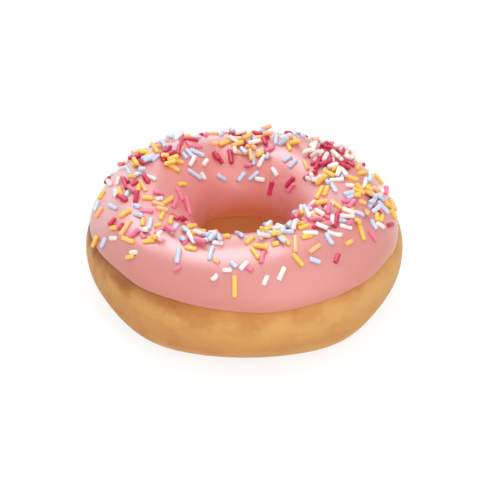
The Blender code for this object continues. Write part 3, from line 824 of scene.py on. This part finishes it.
    # Azimuth, section angle, reach along the ring, reach across it, count, and colours to draw from
    drifts: tuple[tuple[float, float, float, float, int, str], ...] = (
        (33, 82, 9, 16, 26, "WWBPWC"),
        (27, 97, 5, 7, 6, "CCW"),
        (356, 66, 14, 13, 18, "YWBPO"),
        (322, 96, 16, 18, 26, "WPPCYW"),
        (340, 128, 6, 8, 8, "WWB"),
        (288, 95, 9, 12, 16, "WBYWB"),
        (243, 88, 14, 13, 10, "PYWB"),
        (210, 74, 12, 16, 5, "YPBWO"),
        (186, 70, 12, 14, 5, "YBOPC"),
        (155, 84, 9, 20, 8, "YWBPC"),
        (156, 104, 4, 6, 6, "Y"),
        (150, 97, 4, 5, 4, "C"),
        (128, 90, 12, 18, 6, "WYBPC"),
        (86, 97, 12, 18, 20, "YOCYWB"),
        (15, 100, 8, 14, 9, "WBYW"),
        (62, 92, 6, 14, 6, "YWB"),
        (60, 56, 24, 16, 14, "YWBPCO"),
        (115, 52, 30, 14, 18, "YWBPCO"),
        (150, 48, 18, 10, 8, "YWBPCO"),
        (20, 46, 20, 10, 8, "YWBPCO"),
    )

    def lone_place(self, azimuth: float, section: float, slant: float, length: float) -> Place:
        """Works out how a sprinkle lies from how it is seen from the front.

        Args:
            azimuth: Azimuth in degrees.
            section: Section angle in degrees.
            slant: Slant in the view, in degrees, with 0 to the right and 90 upwards.
            length: Length in the view, in millimetres.

        Returns:
            Azimuth, section angle and heading in radians, and the true length in metres.
        """
        angles = (azimuth, section, slant, self.view_height)
        azimuth, section, slant, height = (math.radians(angle) for angle in angles)
        view_up = Vector((0, math.sin(height), math.cos(height)))
        _, forward, sideways, _, _ = self.icing.frame(azimuth, section)
        seen_forward = (forward.x, forward.dot(view_up))
        seen_sideways = (sideways.x, sideways.dot(view_up))
        area = seen_forward[0] * seen_sideways[1] - seen_forward[1] * seen_sideways[0]
        ahead = (math.cos(slant) * seen_sideways[1] - math.sin(slant) * seen_sideways[0]) / area
        aside = (math.sin(slant) * seen_forward[0] - math.cos(slant) * seen_forward[1]) / area
        true_length = min(self.longest, length * MM * math.hypot(ahead, aside))
        return azimuth, section, math.atan2(aside, ahead), true_length

    def drift_places(self) -> list[tuple[list[Place], StrandColour]]:
        """Draws places for the sprinkles in the drifts, by one seeded rule.

        Returns:
            For each sprinkle, longest first, some places where it may lie, and its colour.
        """
        draw = random.Random(self.seed)
        paint = random.Random(self.seed + 1)
        strands: list[tuple[list[Place], StrandColour]] = []
        for azimuth, section, along, across, count, colours in self.drifts:
            for _ in range(count):
                length = draw.gauss(self.length, self.length_spread)
                length = max(self.shortest, min(self.longest, length))
                places: list[Place] = []
                for _ in range(self.draws_a_strand):
                    at = azimuth + along * draw.triangular(-self.drift_edge, self.drift_edge)
                    over = section + across * draw.triangular(-self.drift_edge, self.drift_edge)
                    places.append((math.radians(at), math.radians(over), draw.uniform(0, math.pi), length))
                strands.append((places, StrandColour[paint.choice(colours)]))
        return sorted(strands, key=lambda strand: -strand[0][0][3])

    def support_height(self, sample: Vector, up: Vector, strands: Sequence[Strand]) -> float:
        """Finds how high a rod's middle line rests on the rods under a sample point.

        Args:
            sample: Point of the icing's tangent plane.
            up: Outward direction.
            strands: Rods near the sample.

        Returns:
            Height along up, or -1 where no rod is near.
        """
        reach = 2 * self.radius - self.bite
        highest = -1.0
        for other in strands:
            if (other.centre - sample).length > other.half_length + self.near_radii * self.radius:
                continue
            for part in range(-self.rod_parts, self.rod_parts + 1):
                to_other = other.centre + other.axis * (part / self.rod_parts * other.half_length) - sample
                over = to_other.dot(up)
                beside = to_other.length_squared - over * over
                if beside < reach * reach:
                    highest = max(highest, over + math.sqrt(reach * reach - beside))
        return highest

    @staticmethod
    def rest_line(heights: Sequence[tuple[float, float]]) -> tuple[float, float]:
        """Finds the lowest line that stays on or above some heights.

        Args:
            heights: Station along the rod and height there, for each sample.

        Returns:
            Height at the middle, and slope.
        """
        behind = [pair for pair in heights if pair[0] <= 0]
        ahead = [pair for pair in heights if pair[0] >= 0]
        best, slope = -1.0, 0.0
        for s0, h0 in behind:
            for s1, h1 in ahead:
                if s1 == s0:
                    middle, lean = h0, slope
                else:
                    lean = (h1 - h0) / (s1 - s0)
                    middle = h0 - lean * s0
                if middle > best:
                    best, slope = middle, lean
        return best, slope

    def drop(self, place: Place, colour: StrandColour, strands: Sequence[Strand]) -> tuple[Strand, float]:
        """Lets a sprinkle come to rest on the icing and on the sprinkles there.

        Args:
            place: Azimuth, section angle, heading and length.
            colour: Colour of the sprinkle.
            strands: Sprinkles laid before.

        Returns:
            The sprinkle at rest, and the height of its middle above the icing.
        """
        azimuth, section, heading, length = place
        base, forward, sideways, up, rates = self.icing.frame(azimuth, section)
        axis = forward * math.cos(heading) + sideways * math.sin(heading)
        turn = rates[0] * math.cos(heading)
        roll = rates[1] * math.sin(heading)
        half = length / 2
        reach = half + self.near_radii * self.radius
        near = [other for other in strands if (other.centre - base).length < reach + other.half_length]
        heights: list[tuple[float, float]] = []
        for i in range(self.touch_samples):
            station = (half - self.radius) * (2 * i / (self.touch_samples - 1) - 1)
            sample = base + axis * station
            spot = (azimuth + turn * station, section + roll * station)
            sink = min(self.sink, self.icing.depth(*spot) / 2)
            rest = (self.icing.point(*spot) - sample).dot(up) + self.radius - sink
            heights.append((station, max(rest, self.support_height(sample, up, near))))
        height, slope = self.rest_line(heights)
        if abs(slope) > self.steepest_lean:
            height = math.inf
        centre = base + up * min(height, self.tallest_pile)
        return Strand(centre, (axis + up * slope).normalized(), half, colour), height

    def lay(self) -> list[Strand]:
        """Lays every sprinkle: the lone ones, then the drifts, longest first, each in its lowest place.

        Returns:
            The sprinkles at rest.
        """
        lone = [([self.lone_place(*row[:4])], StrandColour[row[4]]) for row in self.lone]
        strands: list[Strand] = []
        for places, colour in lone + self.drift_places():
            drops = (self.drop(place, colour, strands) for place in places)
            strand, height = min(drops, key=lambda drop: drop[1])
            if height < self.tallest_pile:
                strands.append(strand)
        return strands


@dataclass
class DoughRing:
    """The fried dough ring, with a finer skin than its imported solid."""

    form: DoughForm = field(default_factory=DoughForm)
    finish: FriedDoughFinish = field(default_factory=FriedDoughFinish)
    ring_steps: int = 300
    section_steps: int = 110

    def build(self) -> bpy.types.Object:
        """Builds the ring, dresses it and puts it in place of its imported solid."""
        start, tiny = -0.5 * math.pi, 1e-6
        sections = [start + 2 * math.pi * i / self.section_steps for i in range(self.section_steps + 1)]
        sections[0] += tiny
        sections[-1] -= tiny
        piece = ring_piece(
            "dough_crust", self.ring_steps, lambda a: [self.form.point(a, s) for s in sections], DOUGH_NODE
        )
        piece.data.materials.append(self.finish.material())
        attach(piece, BODY)
        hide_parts(DOUGH_NODE)
        return piece


@dataclass
class IcingCap:
    """The icing, from its lip on the side over the crest and down into the hole."""

    form: IcingForm = field(default_factory=IcingForm)
    finish: FondantFinish = field(default_factory=FondantFinish)
    ring_steps: int = 360
    top_steps: int = 96
    lip_steps: int = 8
    under_steps: int = 24
    under_depth: float = 0.25 * MM

    def loop(self, azimuth: float) -> list[Vector]:
        """Gives one closed loop of the icing: over its top, and back just inside the dough.

        Args:
            azimuth: Azimuth in radians.

        Returns:
            The loop's points.
        """
        outer, inner = self.form.skin_edges(azimuth)
        lip = self.form.lip_width / self.form.dough.tube_radius
        rises = [lip * (i / self.lip_steps) ** 2 for i in range(self.lip_steps)]
        first, last = outer + lip, inner - lip
        top = [outer + rise for rise in rises]
        top += [first + (last - first) * i / self.top_steps for i in range(self.top_steps + 1)]
        top += [inner - rise for rise in reversed(rises)]
        under = [inner + (outer - inner) * i / self.under_steps for i in range(self.under_steps + 1)]
        below = [self.form.dough.lifted(azimuth, section, -self.under_depth) for section in under]
        return [self.form.skin_point(azimuth, section) for section in top] + below

    def build(self) -> bpy.types.Object:
        """Builds the icing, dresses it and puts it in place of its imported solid."""
        piece = ring_piece("icing_cap", self.ring_steps, self.loop, ICING_NODE)
        piece.data.materials.append(self.finish.material())
        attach(piece, BODY)
        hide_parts(ICING_NODE)
        return piece


@dataclass
class Sprinkles:
    """The sugar strands, one piece for each colour: short rods with soft ends, a few of them bent."""

    fall: StrandFall = field(default_factory=StrandFall)
    sides: int = 14
    girth_spread: float = 0.05
    usual_bend: float = 0.05 * MM
    strong_bend: float = 0.35 * MM
    strong_bend_share: float = 0.08
    longest_bent: float = 4.5 * MM
    # Inset from the end, and share of the rod's girth there
    end_inset: tuple[tuple[float, float], ...] = (
        (0.0, 0.55), (0.07 * MM, 0.80), (0.22 * MM, 0.96), (0.45 * MM, 1.0),
    )
    middle_rings: int = 4
    seed: int = 7

    def rod(self, strand: Strand, draw: random.Random) -> tuple[list[Vector], list[Face]]:
        """Models one sprinkle.

        Args:
            strand: The sprinkle at rest.
            draw: Source of its small differences.

        Returns:
            Its points and its faces.
        """
        half = strand.half_length
        radius = self.fall.radius * (1 + draw.uniform(-self.girth_spread, self.girth_spread))
        bend = draw.gauss(0, self.usual_bend)
        if draw.random() < self.strong_bend_share and 2 * half < self.longest_bent:
            bend = self.strong_bend
        roll = Matrix.Rotation(draw.uniform(0, 2 * math.pi), 3, "Z")
        frame = strand.axis.to_track_quat("Z", "Y").to_matrix() @ roll
        low_end = [(inset - half, share) for inset, share in self.end_inset]
        high_end = [(half - inset, share) for inset, share in reversed(self.end_inset)]
        reach, steps = half - self.end_inset[-1][0], self.middle_rings + 1
        middle = [(reach * (2 * i / steps - 1), 1.0) for i in range(1, steps)]
        points: list[Vector] = []
        for station, share in low_end + middle + high_end:
            shift = bend * (1 - (station / half) ** 2)
            for k in range(self.sides):
                angle, girth = 2 * math.pi * k / self.sides, radius * share
                local = Vector((girth * math.cos(angle) + shift, girth * math.sin(angle), station))
                points.append(strand.centre + frame @ local)
        rings = len(points) // self.sides
        faces: list[Face] = []
        for ring in range(rings - 1):
            for k in range(self.sides):
                a, b = ring * self.sides + k, ring * self.sides + (k + 1) % self.sides
                faces.append((a, b, b + self.sides, a + self.sides))
        faces.append(tuple(reversed(range(self.sides))))
        faces.append(tuple(range((rings - 1) * self.sides, rings * self.sides)))
        return points, faces

    def build(self) -> list[bpy.types.Object]:
        """Builds and dresses one piece for each colour.

        Returns:
            The pieces.
        """
        draw = random.Random(self.seed)
        low, high = (Vector(corner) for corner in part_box(ICING_NODE))
        margin = self.fall.radius
        heaps: dict[StrandColour, tuple[list[Vector], list[Face]]] = {c: ([], []) for c in StrandColour}
        for strand in self.fall.lay():
            points, faces = self.rod(strand, draw)
            if any(point.z > high.z or point.z < low.z - margin for point in points):
                continue
            heap_points, heap_faces = heaps[strand.colour]
            start = len(heap_points)
            heap_points.extend(points)
            heap_faces.extend(tuple(start + index for index in face) for face in faces)
        pieces = []
        for colour, (points, faces) in heaps.items():
            piece = mesh_object(f"sprinkles_{colour.value[0]}", points, faces)
            piece.data.shade_smooth()
            piece.data.materials.append(SugarStrandFinish(colour).material())
            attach(piece, BODY)
            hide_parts(ICING_NODE)
            pieces.append(piece)
        return pieces


class Reach(Enum):
    """What a softbox lights: the colour of things, or their gloss."""

    COLOUR = "colour"
    GLOSS = "gloss"


@dataclass(frozen=True)
class Softbox:
    """A rectangular soft light that faces the doughnut, placed by azimuth, elevation and distance."""

    name: str
    azimuth: float
    elevation: float
    distance: float
    width: float
    height: float
    power: float
    colour: str
    reach: Reach

    def hang(self) -> bpy.types.Object:
        """Hangs the softbox, turned to the doughnut."""
        around, over = math.radians(self.azimuth), math.radians(self.elevation)
        level = math.cos(over)
        place = Vector((level * math.cos(around), level * math.sin(around), math.sin(over))) * self.distance
        light = bpy.data.lights.new(self.name, "AREA")
        light.shape = "RECTANGLE"
        light.size, light.size_y = self.width, self.height
        light.energy, light.color = self.power, linear(self.colour)[:3]
        lamp = bpy.data.objects.new(self.name, light)
        lamp.location = place
        lamp.rotation_euler = (-place).to_track_quat("-Z", "Y").to_euler()
        lamp.visible_diffuse = self.reach is not Reach.GLOSS
        lamp.visible_glossy = self.reach is not Reach.COLOUR
        bpy.context.scene.collection.objects.link(lamp)
        return lamp


@dataclass
class Studio:
    """A white floor, soft light from above and a camera at the photo's angle."""

    floor_side: float = 4.0
    floor_finish: LightTableFinish = field(default_factory=LightTableFinish)
    ambient: str = "#FFFFFF"
    ambient_strength: float = 0.62
    softboxes: tuple[Softbox, ...] = (
        Softbox("window_above", 112, 74, 0.85, 0.62, 0.54, 6.6, "#E6EEFF", Reach.GLOSS),
        Softbox("window_left", 152, 49, 0.85, 0.32, 0.32, 2.4, "#E6EEFF", Reach.GLOSS),
        Softbox("window_behind", 120, 22, 0.85, 1.20, 0.70, 3.9, "#E6EEFF", Reach.GLOSS),
        Softbox("card_right", 318, 28, 0.85, 0.95, 0.75, 1.8, "#FFFFFF", Reach.GLOSS),
        Softbox("softbox_above", 100, 80, 0.80, 0.60, 0.60, 2.5, "#FFFFFF", Reach.COLOUR),
        Softbox("softbox_front", 280, 44, 0.82, 0.60, 0.60, 2.9, "#FFFFFF", Reach.COLOUR),
    )
    view_height: float = 34.8
    distance: float = 0.6
    pixels_a_millimetre: float = 3.58
    sensor_width: float = 36.0
    nearest: float = 0.05
    # The point on the hole's axis that the frame is placed by, and the pixel at which it is seen
    seen_point: tuple[float, float, float] = (0.19 * MM, 0.70 * MM, 15.0 * MM)
    seen_pixel: tuple[float, float] = (245.0, 236.0)

    def lay_floor(self) -> bpy.types.Object:
        """Lays the floor at the level that the doughnut rests on."""
        half = self.floor_side / 2
        corners = [(-half, -half, 0), (half, -half, 0), (half, half, 0), (-half, half, 0)]
        floor = mesh_object("floor_sheet", corners, [(0, 1, 2, 3)])
        floor.data.materials.append(self.floor_finish.material())
        return floor

    def hang_lights(self) -> None:
        """Hangs the softboxes and sets the even light of the room."""
        for softbox in self.softboxes:
            softbox.hang()
        world = bpy.data.worlds.new("studio_room")
        world.use_nodes = True
        room = world.node_tree.nodes["Background"]
        room.inputs["Color"].default_value = linear(self.ambient)
        room.inputs["Strength"].default_value = self.ambient_strength
        bpy.context.scene.world = world

    def set_camera(self) -> bpy.types.Object:
        """Sets the camera so that the doughnut lies in the frame as in the photo.

        Returns:
            The camera.
        """
        height = math.radians(self.view_height)
        view_up = Vector((0, math.sin(height), math.cos(height)))
        back = Vector((0, -math.cos(height), math.sin(height)))
        middle = IMAGE_SIDE / 2
        scale = MM / self.pixels_a_millimetre
        right = Vector((1, 0, 0)) * ((middle - self.seen_pixel[0]) * scale)
        aim = Vector(self.seen_point) + right - view_up * ((middle - self.seen_pixel[1]) * scale)
        data = bpy.data.cameras.new("camera")
        data.sensor_width = self.sensor_width
        data.lens = self.pixels_a_millimetre * self.distance / MM * self.sensor_width / IMAGE_SIDE
        data.clip_start = self.nearest
        camera = bpy.data.objects.new("camera", data)
        camera.location = aim + back * self.distance
        camera.rotation_euler = (-back).to_track_quat("-Z", "Y").to_euler()
        bpy.context.scene.collection.objects.link(camera)
        bpy.context.scene.camera = camera
        return camera

    def build(self) -> None:
        """Sets the whole stage."""
        self.lay_floor()
        self.hang_lights()
        self.set_camera()
        bpy.context.scene.view_settings.view_transform = "Standard"


def main() -> None:
    """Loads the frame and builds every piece."""
    logging.basicConfig(level=logging.INFO, format="%(message)s")
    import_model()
    pieces = [DoughRing().build(), IcingCap().build(), *Sprinkles().build()]
    for piece in pieces:
        LOG.info("%s: %d faces", piece.name, len(piece.data.polygons))
    Studio().build()


if __name__ == "__main__":
    main()
